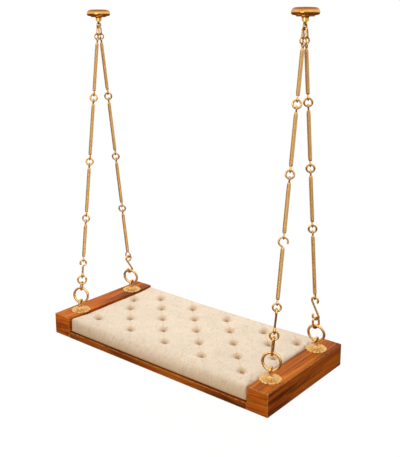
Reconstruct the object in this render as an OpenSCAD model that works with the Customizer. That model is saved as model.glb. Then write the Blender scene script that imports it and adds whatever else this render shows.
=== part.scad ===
// Hanging swing bed: a timber frame with a tufted cushion, hung from two ceiling eyes
// by four strands of forged brass rods, rings, links and hooks.
// The origin lies on the ceiling, midway between the two ceiling studs. X runs along the
// bed, Y from front to back and Z up, so the whole bed hangs below the origin.

/* [Hanging] */
// Distance between the two ceiling studs, and between the eye bolts of the two ends
stud_spacing = 1616; // [1580:1:1700]
// Drop from the ceiling to the top of the timber frame
drop = 2075; // [1950:1:2600]
// Distance between the front and back eye bolts of one end
bolt_span = 512; // [400:1:600]
// How far the bed sways along its length, which sets the play in the eye bolts
sway_angle = 10; // [2:1:12]

/* [Timber frame] */
// Length of the frame over its end rails
bed_l = 1800; // [1780:1:1850]
// Depth of the frame from front to back
bed_w = 830; // [760:1:1000]
// Height of the end rails
frame_h = 145; // [125:1:180]
// Width of an end rail, along the bed
end_rail_w = 145; // [135:1:160]
// Height of the low rails that carry the cushion
low_rail_h = 43; // [38:1:60]
// Width of a low rail, from front to back
low_rail_w = 60; // [45:1:90]
// Radius of the worn timber edges
edge_r = 4; // [1:0.5:8]
// Length of the tenons on the low rails
tenon_l = 42; // [25:1:60]
// Height of the tenons
tenon_h = 22; // [14:1:28]
// Width of the tenons, from front to back
tenon_w = 34; // [20:1:40]
// Diameter of the pegs that hold the tenons
peg_d = 10; // [6:0.5:14]
// Thickness of the panel under the cushion
panel_t = 18; // [12:1:22]
// Width of a batten under the panel
batten_w = 70; // [40:1:110]
// Number of battens
batten_count = 5; // [3:1:8]
// Clearance between timber pieces that fit into each other
timber_fit = 0.3; // [0.2:0.05:0.8]

/* [Cushion] */
// Height of the cushion's crown over the top of the timber
cushion_crown = 16; // [8:1:35]
// Height of the cushion's shoulder over the top of the timber
cushion_shoulder = 3; // [0:1:8]
// Radius of the cushion's rolled edge
cushion_edge_r = 36; // [25:1:45]
// How far the sides are drawn in at the foot of the cushion
cushion_draw = 5; // [0:1:12]
// Distance between tufts along the bed
tuft_pitch = 308; // [240:1:380]
// Distance between rows of tufts
tuft_row = 134; // [110:1:150]
// How far each row of tufts is set over, beyond half a pitch
tuft_lean = 24; // [0:1:40]
// Depth of a tuft
tuft_depth = 26; // [12:1:34]
// Width of a tuft at half its depth
tuft_d = 58; // [48:1:90]
// Clearance between the cushion and the timber
cushion_gap = 0.4; // [0.3:0.1:2]

/* [Ceiling fixings] */
// Diameter of a canopy
canopy_d = 158; // [130:1:200]
// Height of a canopy's rolled upper tier
canopy_tier_h = 28; // [22:1:30]
// Radius of the lip under that tier
canopy_lip_r = 15; // [10:1:18]
// Radius of the bead on a canopy's underside
canopy_bead_r = 47; // [42:1:52]
// Width of that bead
canopy_bead_w = 9; // [6:0.5:10]
// How far a canopy's underside falls towards its stem
canopy_fall = 7; // [4:1:11]
// Radius of the cove at the top of the stem
canopy_cove_r = 7; // [4:1:10]
// Height of a canopy from the ceiling to the end of its stem
canopy_h = 72; // [66:1:90]
// Diameter of a canopy's stem
canopy_stem_d = 40; // [34:1:50]
// Diameter of the studs in the ceiling
stud_d = 12; // [8:1:16]
// Length of a stud above the ceiling
stud_l = 60; // [40:1:90]
// Ledge where a stud leaves its thicker shank at the ceiling
stud_ledge = 1; // [0.5:0.5:2]
// Radius of a ceiling eye, to the middle of its wire
ceiling_eye_r = 9.5; // [9.3:0.1:12]
// Wire of a ceiling eye
ceiling_eye_wire = 8; // [6:0.5:8]

/* [Rings and links] */
// Gap left between the wires of two pieces that hang in each other
link_gap = 0.4; // [0.3:0.1:0.8]
// Radius of a top ring
top_ring_r = 16; // [15:0.5:22]
// Wire of a top ring
top_ring_wire = 9; // [7:0.5:9]
// Extra room where a hook crosses its neighbour aslant
oblique_gap = 0.4; // [0.4:0.1:1]
// Turn of the top rings about the vertical
top_turn = 86; // [85:1:90]
// Half height of an upper oval link
upper_oval_h = 30; // [24:1:40]
// Half width of an upper oval link
upper_oval_b = 12.8; // [10:0.2:16]
// Wire of an upper oval link
upper_oval_wire = 8.5; // [6:0.5:9]
// Radius of an upper round link
upper_round_r = 19; // [16:1:26]
// Wire of an upper round link
upper_round_wire = 9; // [7:0.5:10]
// Radius of a connecting ring
ring_r = 23; // [20:1:30]
// Wire of a connecting ring
ring_wire = 12; // [9:0.5:13]
// Turn of the connecting rings about the strand
ring_turn = 35; // [0:1:60]
// Radius of a big ring
big_ring_r = 52.5; // [48:0.5:60]
// Wire of a big ring
big_ring_wire = 17; // [14:0.5:17]
// Turn of the big rings: front left, back left, front right, back right
big_turns = [22, 16, 20, 8]; // [0:1:24]

/* [Rods] */
// Eye to eye length of the three upper rods of the left strands
left_rods = [365, 390, 349]; // [200:1:420]
// Eye to eye length of the three upper rods of the right strands
right_rods = [294, 337, 326]; // [200:1:420]
// Diameter of a rod's shaft
rod_d = 18; // [14:0.5:19]
// Radius of a rod's eye
rod_eye_r = 13; // [12:0.5:16]
// Wire of a rod's eye
rod_eye_wire = 9; // [7:0.5:9]
// Distance from an eye's middle to the collar at its shoulder
rod_shoulder = 27; // [25:1:34]
// Radius of the large eye that ends the back left strand
large_eye_r = 20; // [18:0.5:24]
// Radius of the hook that heads the lowest front right rod
rod_hook_r = 26; // [20:1:30]
// Wire of that hook
rod_hook_wire = 11; // [8:0.5:12]
// Radius of the bend from that hook into its rod
rod_neck_r = 14; // [12:0.5:16]

/* [Hooks] */
// Wire of the S-hooks and open links
hook_wire = 13; // [10:0.5:14]
// Radius of an S-hook's bowls
bowl_r = 20; // [18:0.5:23]
// Half height of the S-hook at the front right
front_hook_h = 72; // [60:1:85]
// Half height of the S-hook at the back right
back_hook_h = 76; // [60:1:85]
// Half height of the twisted S-hook at the front left
twisted_hook_h = 64; // [62:1:80]
// Radius of the bends from its bowls into its shank
twisted_neck_r = 16; // [14:0.5:18]
// Half height of the nearly closed S-hook at the back left
closed_hook_h = 67; // [60:1:80]
// Half height of the open link at the back right
open_link_h = 36; // [30:1:40]
// Half width of the open link at the back right
open_link_b = 24; // [22:1:28]
// Radius of the round open link at the front left
split_ring_r = 29; // [24:1:32]
// Half height of the short link at the front left
short_link_h = 29; // [26:1:36]
// Wire of the short link
short_link_wire = 11; // [9:0.5:12]
// Half height of the long link at the front right
long_link_h = 53; // [40:1:60]
// Radius of the round link at the front right
round_link_r = 24.5; // [22:0.5:28]

/* [Eye bolts] */
// Running gap between a big ring and the bar that it pulls on
eye_gap = 0.8; // [0.7:0.1:0.9]
// Wire of the eyes on the bed
eye_wire = 15; // [12:0.5:16]
// Diameter of an eye bolt's shank
shank_d = 14; // [12:1:16]
// Diameter of a rosette
rosette_d = 136; // [110:1:140]
// Height of a rosette's neck
rosette_h = 27; // [24:1:30]
// Number of a rosette's petals
petal_count = 8; // [6:1:10]
// Clearance of a bolt in its bore, on the radius
bolt_fit = 0.5; // [0.2:0.1:1]
// Diameter of the counterbores under the end rails
counterbore_d = 44; // [38:1:50]
// Depth of the counterbores
counterbore_l = 26; // [20:1:36]
// Width of a nut across its corners
nut_d = 25; // [22:1:30]
// Thickness of a nut
nut_t = 12; // [8:1:14]
// Diameter of a washer
washer_d = 34; // [30:1:36]
// Thickness of a washer
washer_t = 3; // [2:0.5:4]

/* [Hidden] */
$fn = 48;

BRASS = [0.85, 0.64, 0.30];
TEAK = [0.62, 0.30, 0.08];
FABRIC = [0.95, 0.91, 0.82];
STEEL = [0.62, 0.62, 0.60];

STRANDS = ["front_left", "back_left", "front_right", "back_right"];
FRONT_LEFT = 0;
BACK_LEFT = 1;
FRONT_RIGHT = 2;
BACK_RIGHT = 3;
side_of = [-1, -1, 1, 1];
row_of = [-1, 1, -1, 1];
SIDES = ["left", "right"];

// Distance between the middles of two linked pieces, from their half heights and wires
function pitch(h1, wire1, h2, wire2) = h1 + h2 - (wire1 + wire2) / 2 - link_gap;

// Levels, from the ceiling down
hang_x = stud_spacing / 2;
collar_t = 5;
ceiling_eye_z = -(canopy_h + collar_t + ceiling_eye_r);
top_ring_z = ceiling_eye_z - pitch(ceiling_eye_r, ceiling_eye_wire, top_ring_r, top_ring_wire);
timber_z = -drop;
floor_z = timber_z - frame_h;
low_rail_z = floor_z + low_rail_h;

// The eye on the bed stands on its rosette's neck, and its lower bar sinks into a collar
eye_collar_t = 5;
eye_base_z = timber_z + rosette_h;
eye_foot_z = eye_base_z + eye_wire / 2 + 0.5;
ring_play = 3.5;
ring_bottom_z = eye_foot_z + (eye_wire + big_ring_wire) / 2 + ring_play;
eye_top_z = ring_bottom_z + (eye_wire + big_ring_wire) / 2 + eye_gap;
eye_slip = big_ring_r * sin(max(big_turns)) * sin(sway_angle);
eye_b = round(10 * ((big_ring_wire + eye_wire) / 2 + eye_slip + 1.6)) / 10;
eye_corner_r = (eye_top_z - eye_foot_z) / 2 - 3;

// A strand runs from beside the lowest point of its top ring to the lowest point of its big ring
pair_offset = upper_oval_wire / 2 + 0.3;
inner_reach = top_ring_r - (top_ring_wire + upper_oval_wire) / 2 - 2 * link_gap;
first_drop = sqrt(inner_reach * inner_reach - pair_offset * pair_offset);

function strand_top(i) = [
    side_of[i] * hang_x + row_of[i] * pair_offset * cos(top_turn),
    row_of[i] * pair_offset * sin(top_turn),
    top_ring_z
];
function strand_foot(i) = [side_of[i] * hang_x, row_of[i] * bolt_span / 2, ring_bottom_z];
function strand_run(i) = strand_foot(i) - strand_top(i);
function strand_l(i) = norm(strand_run(i));

// Distances down a strand to the middle of each piece
oval_s = first_drop + upper_oval_h;
round_s = oval_s + pitch(upper_oval_h, upper_oval_wire, upper_round_r, upper_round_wire);
rod_1_s = round_s + pitch(upper_round_r, upper_round_wire, rod_eye_r, rod_eye_wire);
ring_step = pitch(rod_eye_r, rod_eye_wire, ring_r, ring_wire);
hook_step = pitch(rod_eye_r, rod_eye_wire, rod_hook_r, rod_hook_wire);

function rods(i) = side_of[i] < 0 ? left_rods : right_rods;
function ring_1_s(i) = rod_1_s + rods(i)[0] + ring_step;
function ring_2_s(i) = ring_1_s(i) + rods(i)[1] + 2 * ring_step;
function rod_3_s(i) = ring_2_s(i) + ring_step;
function ring_3_s(i) = rod_3_s(i) + rods(i)[2] + ring_step;
function rod_4_s(i) = i == FRONT_RIGHT
    ? rod_3_s(i) + rods(i)[2] + hook_step
    : ring_3_s(i) + ring_step;
function big_ring_s(i) = strand_l(i) - big_ring_r;

// Heights of the lower pieces over the middle of their big ring, along the strand
short_link_up = pitch(big_ring_r, big_ring_wire, short_link_h, short_link_wire);
split_ring_up = short_link_up
    + pitch(short_link_h, short_link_wire, split_ring_r, hook_wire);
twisted_hook_up = split_ring_up + pitch(split_ring_r, hook_wire, twisted_hook_h, hook_wire);
closed_hook_up = pitch(big_ring_r, big_ring_wire, closed_hook_h, hook_wire) - oblique_gap;
long_link_up = pitch(big_ring_r, big_ring_wire, long_link_h, hook_wire);
round_link_up = long_link_up + pitch(long_link_h, hook_wire, round_link_r, hook_wire);
front_hook_up = round_link_up + pitch(round_link_r, hook_wire, front_hook_h, hook_wire);
last_ring_up = front_hook_up + pitch(front_hook_h, hook_wire, ring_r, ring_wire);
open_link_up = pitch(big_ring_r, big_ring_wire, open_link_h, hook_wire);
back_hook_up = open_link_up + pitch(open_link_h, hook_wire, back_hook_h, hook_wire)
    - oblique_gap;

// Heights of the lowest rods' lower eyes over the big rings
rod_4_feet = [
    twisted_hook_up + pitch(twisted_hook_h, hook_wire, rod_eye_r, rod_eye_wire),
    closed_hook_up + pitch(closed_hook_h, hook_wire, large_eye_r, rod_eye_wire) - oblique_gap,
    last_ring_up + ring_step,
    back_hook_up + pitch(back_hook_h, hook_wire, rod_eye_r, rod_eye_wire)
];
function rod_4_l(i) = big_ring_s(i) - rod_4_feet[i] - rod_4_s(i);

// Turns of the links, hooks and eyes about the strand, each well across its neighbours
upper_oval_turn = top_turn - 90;
upper_round_turn = upper_oval_turn + 62;
split_ring_turn = big_turns[FRONT_LEFT] + 23;
closed_hook_turn = big_turns[BACK_LEFT] + 60;
front_hook_turn = ring_turn + 90;
back_hook_turn = big_turns[BACK_RIGHT] + 2;
open_link_turn = back_hook_turn + 62;
rod_4_foot_turns = [
    split_ring_turn + 90,
    closed_hook_turn - 60,
    front_hook_turn,
    back_hook_turn + 90
];

// Tufts lie in rows, each set over by half a pitch and the lean; those that would fall at
// the very end of the cushion are left out, and those near it are drawn in
cushion_l = bed_l - 2 * end_rail_w - 2 * cushion_gap;
tuft_margin = 35;
tuft_inset = 90;
function tuft_x(row, k) = (row + 2) * tuft_lean + (row % 2 == 0 ? 0 : tuft_pitch / 2) + k * tuft_pitch;
function drawn_in(x) = max(-cushion_l / 2 + tuft_inset, min(cushion_l / 2 - tuft_inset, x));
tufts = [
    for (row = [-2:2])
        for (k = [-4:3])
            if (abs(tuft_x(row, k)) < cushion_l / 2 - tuft_margin)
                [drawn_in(tuft_x(row, k)), row * tuft_row]
];

// ---- Wire forms. Each stands in the XZ plane, round its own middle ----

// Part of a ring, between two angles measured from +X towards +Z
module wire_arc(r, wire, from, to) {
    rotate([90, 0, 0])
        rotate([0, 0, from])
            rotate_extrude(angle = to - from)
                translate([r, 0])
                    circle(d = wire);
}

module wire_ring(r, wire) {
    rotate([90, 0, 0])
        rotate_extrude()
            translate([r, 0])
                circle(d = wire);
}

// A straight wire up or down the Z direction
module wire_bar(x, z1, z2, wire) {
    translate([x, 0, z1])
        cylinder(d = wire, h = z2 - z1);
}

// The forged knob that ends an open arc of wire
module wire_tip(r, angle, wire) {
    translate([r * cos(angle), 0, r * sin(angle)])
        sphere(d = wire * 1.18);
}

// The slight swelling where a bent wire goes from one curve into the next
module knuckle(r, angle, wire) {
    translate([r * cos(angle), 0, r * sin(angle)])
        sphere(d = wire + 0.5);
}

// A closed link: half height h, half width b
module oval_link(h, b, wire) {
    translate([0, 0, h - b])
        wire_arc(b, wire, 0, 180);
    translate([0, 0, b - h])
        wire_arc(b, wire, 180, 360);
    for (x = [-b, b])
        wire_bar(x, b - h, h - b, wire);
}

// A link left open at its upper right, between the end of its side and its upper round
module open_link(h, b, wire, mouth) {
    translate([0, 0, h - b]) {
        wire_arc(b, wire, mouth, 180);
        knuckle(b, 180, wire);
        wire_tip(b, 0, wire);
        wire_tip(b, mouth, wire);
    }
    translate([0, 0, b - h])
        wire_arc(b, wire, 180, 360);
    for (x = [-b, b])
        wire_bar(x, b - h, h - b, wire);
}

// A round link left open at its upper right
module open_ring(r, wire, tip, mouth) {
    wire_arc(r, wire, mouth, 360 + tip);
    wire_tip(r, tip, wire);
    wire_tip(r, mouth, wire);
}

// A hook's bowl, open at one side, whose neck curves back under its middle
module bowl_and_neck(r, neck_r, wire, tip) {
    turn = acos(neck_r / (r + neck_r));
    wire_arc(r, wire, -turn, 180 - tip);
    wire_tip(r, 180 - tip, wire);
    knuckle(r, -turn, wire);
    translate([neck_r, 0, -neck_drop(r, neck_r)]) {
        wire_arc(neck_r, wire, 180 - turn, 180);
        knuckle(neck_r, 180, wire);
    }
}
function neck_drop(r, neck_r) = (r + neck_r) * sin(acos(neck_r / (r + neck_r)));

// A flat S-hook: two bowls and a slanting shank, tangent to both
module s_hook(h, r, wire, upper_tip, lower_tip) {
    slant = asin(r / (h - r));
    shank_l = 2 * sqrt((h - r) * (h - r) - r * r);
    translate([0, 0, h - r]) {
        wire_arc(r, wire, upper_tip, 180 + slant);
        wire_tip(r, upper_tip, wire);
        knuckle(r, 180 + slant, wire);
    }
    rotate([0, -slant, 0])
        cylinder(d = wire, h = shank_l, center = true);
    rotate([0, 180, 0])
        translate([0, 0, h - r]) {
            wire_arc(r, wire, lower_tip, 180 + slant);
            wire_tip(r, lower_tip, wire);
            knuckle(r, 180 + slant, wire);
        }
}

// An S-hook whose lower bowl is turned square to its upper one
module twisted_hook(h, r, wire) {
    shank_l = 2 * (h - r - neck_drop(r, twisted_neck_r));
    translate([0, 0, h - r])
        bowl_and_neck(r, twisted_neck_r, wire, -35);
    cylinder(d = wire, h = shank_l, center = true);
    rotate([180, 0, 90])
        translate([0, 0, h - r])
            bowl_and_neck(r, twisted_neck_r, wire, -35);
}

// A rod's eye: the wire comes out of the shoulder, and closes round the middle
module teardrop_eye(r, wire, shoulder) {
    spread = asin(r / shoulder);
    leg_l = shoulder * cos(spread);
    wire_arc(r, wire, -spread, 180 + spread);
    knuckle(r, -spread, wire);
    knuckle(r, 180 + spread, wire);
    for (x = [-1, 1])
        translate([0, 0, -shoulder])
            rotate([0, x * spread, 0])
                cylinder(d = wire, h = leg_l);
}

// The turned collar where a shaft's eye begins
module shoulder_collar(z) {
    translate([0, 0, z])
        sphere(d = rod_d + 3);
}

// A rod, hung from the middle of its upper eye
module rod(l, head_turn, foot_turn, foot_r) {
    foot_shoulder = rod_shoulder + foot_r - rod_eye_r;
    rotate([0, 0, head_turn])
        teardrop_eye(rod_eye_r, rod_eye_wire, rod_shoulder);
    shoulder_collar(-rod_shoulder);
    translate([0, 0, foot_shoulder - l])
        cylinder(d = rod_d, h = l - foot_shoulder - rod_shoulder);
    shoulder_collar(foot_shoulder - l);
    translate([0, 0, -l])
        rotate([180, 0, foot_turn])
            teardrop_eye(foot_r, rod_eye_wire, foot_shoulder);
}

// The lowest front right rod hangs from an open hook
module hooked_rod(l, head_turn, foot_turn) {
    neck_z = -neck_drop(rod_hook_r, rod_neck_r);
    rotate([0, 0, head_turn])
        mirror([1, 0, 0])
            bowl_and_neck(rod_hook_r, rod_neck_r, rod_hook_wire, -10);
    shoulder_collar(neck_z - 2);
    translate([0, 0, rod_shoulder - l])
        cylinder(d = rod_d, h = l - rod_shoulder + neck_z - 2);
    shoulder_collar(rod_shoulder - l);
    translate([0, 0, -l])
        rotate([180, 0, foot_turn])
            teardrop_eye(rod_eye_r, rod_eye_wire, rod_shoulder);
}

// Puts a piece on strand i, s below its top, turned about the strand
module on_strand(i, s, turn) {
    way = strand_run(i) / strand_l(i);
    translate(strand_top(i) + s * way)
        rotate([asin(way.y), atan2(-way.x, -way.z), 0])
            rotate([0, 0, turn])
                children();
}

// Puts a piece on strand i, at a height over the middle of its big ring
module over_ring(i, up, turn) {
    on_strand(i, big_ring_s(i) - up, turn)
        children();
}

module at_eye_bolts() {
    for (i = [0:3])
        translate([side_of[i] * hang_x, row_of[i] * bolt_span / 2, 0])
            rotate([0, 0, big_turns[i]])
                children();
}

// ---- Ceiling ----

module canopy_profile() {
    tier_r = canopy_d / 2;
    roll_x = tier_r - canopy_tier_h;
    lip_x = tier_r - canopy_lip_r;
    lip_z = -canopy_tier_h - canopy_lip_r;
    stem_r = canopy_stem_d / 2;
    base_r = stem_r + canopy_cove_r;
    base_z = lip_z - canopy_fall;
    // Rolled upper tier
    intersection() {
        translate([roll_x, -canopy_tier_h])
            circle(r = canopy_tier_h);
        translate([0, -canopy_tier_h])
            square([tier_r, canopy_tier_h]);
    }
    translate([0, -canopy_tier_h])
        square([roll_x, canopy_tier_h]);
    // Lip, which rolls in under the tier
    intersection() {
        translate([lip_x, -canopy_tier_h])
            circle(r = canopy_lip_r);
        translate([lip_x, lip_z])
            square([canopy_lip_r, canopy_lip_r]);
    }
    // Underside, which falls towards the stem and carries a bead
    polygon([[0, -canopy_tier_h], [0, base_z], [base_r, base_z], [lip_x, lip_z], [lip_x, -canopy_tier_h]]);
    translate([canopy_bead_r, lip_z - canopy_fall * (lip_x - canopy_bead_r) / (lip_x - base_r)])
        circle(d = canopy_bead_w);
    // Cove down to the stem
    difference() {
        translate([0, -canopy_h])
            square([base_r, canopy_h + base_z]);
        translate([base_r, base_z - canopy_cove_r])
            circle(r = canopy_cove_r);
        translate([stem_r, -canopy_h - 1])
            square([canopy_cove_r + 1, canopy_h + 1 + base_z - canopy_cove_r]);
    }
}

module canopy(side) {
    color(BRASS)
        translate([side * hang_x, 0, 0])
            difference() {
                rotate_extrude()
                    canopy_profile();
                translate([0, 0, -canopy_h - 1])
                    cylinder(r = stud_d / 2 + stud_ledge + bolt_fit, h = canopy_h + 2);
            }
}

// An eye on a stud: the stud runs up through the canopy into the ceiling
module ceiling_eye(side) {
    color(BRASS)
        translate([side * hang_x, 0, 0]) {
            translate([0, 0, -1])
                cylinder(d = stud_d, h = stud_l + 1);
            translate([0, 0, -canopy_h - collar_t])
                cylinder(d = stud_d + 2 * stud_ledge, h = canopy_h + collar_t);
            translate([0, 0, -canopy_h - collar_t])
                cylinder(d = canopy_stem_d - 8, h = collar_t);
            translate([0, 0, ceiling_eye_z])
                rotate([0, 0, top_turn + 90])
                    wire_ring(ceiling_eye_r, ceiling_eye_wire);
        }
}

module top_ring(side) {
    color(BRASS)
        translate([side * hang_x, 0, top_ring_z])
            rotate([0, 0, top_turn])
                wire_ring(top_ring_r, top_ring_wire);
}

// ---- Strands ----

module upper_oval_link(i) {
    color(BRASS)
        on_strand(i, oval_s, upper_oval_turn)
            oval_link(upper_oval_h, upper_oval_b, upper_oval_wire);
}

module upper_round_link(i) {
    color(BRASS)
        on_strand(i, round_s, upper_round_turn)
            wire_ring(upper_round_r, upper_round_wire);
}

module rod_1(i) {
    color(BRASS)
        on_strand(i, rod_1_s, 0)
            rod(rods(i)[0], upper_round_turn + 90, ring_turn + 90, rod_eye_r);
}

module rod_2(i) {
    color(BRASS)
        on_strand(i, ring_1_s(i) + ring_step, 0)
            rod(rods(i)[1], ring_turn + 90, ring_turn + 90, rod_eye_r);
}

module rod_3(i) {
    color(BRASS)
        on_strand(i, rod_3_s(i), 0)
            rod(rods(i)[2], ring_turn + 90, ring_turn + 90, rod_eye_r);
}

module rod_4(i) {
    color(BRASS)
        on_strand(i, rod_4_s(i), 0)
            if (i == FRONT_RIGHT)
                hooked_rod(rod_4_l(i), ring_turn, rod_4_foot_turns[i]);
            else
                rod(rod_4_l(i), ring_turn + 90, rod_4_foot_turns[i],
                    i == BACK_LEFT ? large_eye_r : rod_eye_r);
}

// The front right strand has no third ring: its fourth rod hooks into the third. It has
// one under that rod instead
module connecting_rings(i) {
    third_s = i == FRONT_RIGHT ? big_ring_s(i) - last_ring_up : ring_3_s(i);
    color(BRASS)
        for (s = [ring_1_s(i), ring_2_s(i), third_s])
            on_strand(i, s, ring_turn)
                wire_ring(ring_r, ring_wire);
}

module big_ring(i) {
    color(BRASS)
        over_ring(i, 0, big_turns[i])
            wire_ring(big_ring_r, big_ring_wire);
}

module s_hook_front_left() {
    color(BRASS)
        over_ring(FRONT_LEFT, twisted_hook_up, split_ring_turn)
            twisted_hook(twisted_hook_h, bowl_r, hook_wire);
}

module s_hook_back_left() {
    color(BRASS)
        over_ring(BACK_LEFT, closed_hook_up, closed_hook_turn)
            s_hook(closed_hook_h, bowl_r, hook_wire, -75, -35);
}

module s_hook_front_right() {
    color(BRASS)
        over_ring(FRONT_RIGHT, front_hook_up, front_hook_turn)
            s_hook(front_hook_h, bowl_r, hook_wire, -35, -35);
}

module s_hook_back_right() {
    color(BRASS)
        over_ring(BACK_RIGHT, back_hook_up, back_hook_turn)
            s_hook(back_hook_h, bowl_r, hook_wire, -35, -35);
}

module split_ring_front_left() {
    color(BRASS)
        over_ring(FRONT_LEFT, split_ring_up, split_ring_turn)
            open_ring(split_ring_r, hook_wire, 24, 64);
}

module short_link_front_left() {
    color(BRASS)
        over_ring(FRONT_LEFT, short_link_up, big_turns[FRONT_LEFT] + 90)
            oval_link(short_link_h, (big_ring_wire + short_link_wire) / 2 + 1, short_link_wire);
}

module open_link_back_right() {
    color(BRASS)
        over_ring(BACK_RIGHT, open_link_up, open_link_turn)
            open_link(open_link_h, open_link_b, hook_wire, 45);
}

module round_link_front_right() {
    color(BRASS)
        over_ring(FRONT_RIGHT, round_link_up, ring_turn)
            wire_ring(round_link_r, hook_wire);
}

module long_link_front_right() {
    color(BRASS)
        over_ring(FRONT_RIGHT, long_link_up, big_turns[FRONT_RIGHT] + 90)
            oval_link(long_link_h, (big_ring_wire + hook_wire) / 2 + 0.8, hook_wire);
}

// ---- Eye bolts on the bed ----

// The eye: a rounded rectangle of wire, flat at its top so that the big ring can slip
// sideways a little as the bed sways
module bed_eye() {
    r = eye_corner_r;
    for (z = [eye_foot_z, eye_top_z])
        translate([0, 0, z])
            rotate([0, 90, 0])
                cylinder(d = eye_wire, h = 2 * (eye_b - r), center = true);
    for (x = [-1, 1])
        wire_bar(x * eye_b, eye_foot_z + r, eye_top_z - r, eye_wire);
    for (corner = [[1, 0], [-1, 90], [-1, 180], [1, 270]])
        translate([corner[0] * (eye_b - r), 0, corner[1] < 180 ? eye_top_z - r : eye_foot_z + r])
            wire_arc(r, eye_wire, corner[1], corner[1] + 90);
}

shank_bottom_z = floor_z + 5;

module eye_bolts() {
    color(BRASS)
        at_eye_bolts() {
            rotate([0, 0, 90])
                bed_eye();
            translate([0, 0, eye_base_z])
                cylinder(r = shank_d / 2 + 4, h = eye_collar_t);
            translate([0, 0, shank_bottom_z])
                cylinder(d = shank_d, h = eye_base_z + 1 - shank_bottom_z);
        }
}

// Petals with two lobes each, round a disc
module petal_outline() {
    lobe_r = 12.5;
    lobe_at = rosette_d / 2 - lobe_r;
    step = 360 / petal_count;
    circle(r = lobe_at - 2);
    for (p = [0:petal_count - 1])
        for (lobe = [-0.21, 0.21])
            rotate([0, 0, (p + lobe) * step])
                translate([lobe_at, 0])
                    circle(r = lobe_r);
}

// A cast flower: a dished plate of petals, with flutes between them, that flares up to a neck
module rosettes() {
    neck_r = shank_d / 2 + 4;
    plate_edge_t = 3.5;
    plate_rise = 6;
    dome_r = (rosette_d * rosette_d / 4 + plate_rise * plate_rise) / (2 * plate_rise);
    flare_r = 21;
    flute_r = 3;
    step = 360 / petal_count;
    color(BRASS)
        at_eye_bolts()
            translate([0, 0, timber_z])
                difference() {
                    union() {
                        intersection() {
                            linear_extrude(plate_edge_t + plate_rise)
                                petal_outline();
                            translate([0, 0, plate_edge_t + plate_rise - dome_r])
                                sphere(r = dome_r, $fn = 360);
                        }
                        rotate_extrude()
                            difference() {
                                square([neck_r + flare_r, rosette_h]);
                                translate([neck_r + flare_r, rosette_h])
                                    circle(r = flare_r);
                            }
                    }
                    for (p = [0:petal_count - 1])
                        rotate([0, 0, (p + 0.5) * step])
                            translate([neck_r + 9, 0, plate_edge_t + plate_rise + flute_r + 3])
                                rotate([0, 97, 0])
                                    cylinder(r = flute_r + 1, h = rosette_d / 2, $fn = 24);
                    translate([0, 0, -1])
                        cylinder(r = shank_d / 2 + bolt_fit, h = rosette_h + 2);
                }
}

washer_z = floor_z + counterbore_l - washer_t;

module washers() {
    color(STEEL)
        at_eye_bolts()
            translate([0, 0, washer_z])
                difference() {
                    cylinder(d = washer_d, h = washer_t);
                    translate([0, 0, -1])
                        cylinder(r = shank_d / 2 + bolt_fit, h = washer_t + 2);
                }
}

module nuts() {
    color(STEEL)
        at_eye_bolts()
            translate([0, 0, washer_z - nut_t])
                difference() {
                    cylinder(d = nut_d, h = nut_t, $fn = 6);
                    translate([0, 0, -1])
                        cylinder(r = shank_d / 2 + 0.15, h = nut_t + 2);
                }
}

// ---- Timber frame ----

// A square with round corners, between two corners
module round_rect(low, high, r) {
    for (x = [low.x + r, high.x - r])
        for (y = [low.y + r, high.y - r])
            translate([x, y])
                circle(r = r);
    translate([low.x + r, low.y])
        square([high.x - low.x - 2 * r, high.y - low.y]);
    translate([low.x, low.y + r])
        square([high.x - low.x, high.y - low.y - 2 * r]);
}

// A timber with all its edges worn round, between two corners
module worn_timber(low, high, r) {
    intersection() {
        translate([0, 0, low.z])
            linear_extrude(high.z - low.z)
                round_rect([low.x, low.y], [high.x, high.y], r);
        rotate([90, 0, 0])
            translate([0, 0, -high.y])
                linear_extrude(high.y - low.y)
                    round_rect([low.x, low.z], [high.x, high.z], r);
        rotate([90, 0, 90])
            translate([0, 0, low.x])
                linear_extrude(high.x - low.x)
                    round_rect([low.y, low.z], [high.y, high.z], r);
    }
}

inner_x = bed_l / 2 - end_rail_w;
tenon_y = bed_w / 2 - low_rail_w / 2;
tenon_z = floor_z + low_rail_h / 2;

// A tenon, which runs on into its rail so that both are one board
module tenon(side, row, grow) {
    root_x = inner_x - tenon_w / 2;
    far_x = inner_x + tenon_l + grow;
    translate([side * (root_x + far_x) / 2, row * tenon_y, tenon_z])
        cube([far_x - root_x, tenon_w + 2 * grow, tenon_h + 2 * grow], center = true);
}

module at_pegs() {
    for (side = [-1, 1])
        for (row = [-1, 1])
            translate([side * (inner_x + tenon_l / 2), row * tenon_y, floor_z])
                children();
}

peg_l = low_rail_h / 2 + tenon_h / 2 + 12;

module peg_bores() {
    translate([0, 0, -1])
        at_pegs()
            cylinder(r = peg_d / 2 + timber_fit / 2, h = peg_l + 2);
}

module end_rail(side) {
    low_x = side < 0 ? -bed_l / 2 : inner_x;
    color(TEAK)
        difference() {
            worn_timber([low_x, -bed_w / 2, floor_z], [low_x + end_rail_w, bed_w / 2, timber_z], edge_r);
            for (row = [-1, 1]) {
                tenon(side, row, timber_fit);
                translate([side * hang_x, row * bolt_span / 2, floor_z - 1]) {
                    cylinder(r = shank_d / 2 + bolt_fit, h = frame_h + 2);
                    cylinder(d = counterbore_d, h = counterbore_l + 1);
                }
            }
            peg_bores();
        }
}

module low_rail(row) {
    low_y = row < 0 ? -bed_w / 2 : bed_w / 2 - low_rail_w;
    color(TEAK)
        difference() {
            union() {
                worn_timber([-inner_x, low_y, floor_z], [inner_x, low_y + low_rail_w, low_rail_z], 2);
                for (side = [-1, 1])
                    tenon(side, row, 0);
            }
            peg_bores();
        }
}

module rail_pegs() {
    color(TEAK)
        at_pegs()
            cylinder(d = peg_d, h = peg_l);
}

bay_w = bed_w - 2 * low_rail_w - 2 * timber_fit;
bay_l = 2 * inner_x - 2 * timber_fit;

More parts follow.
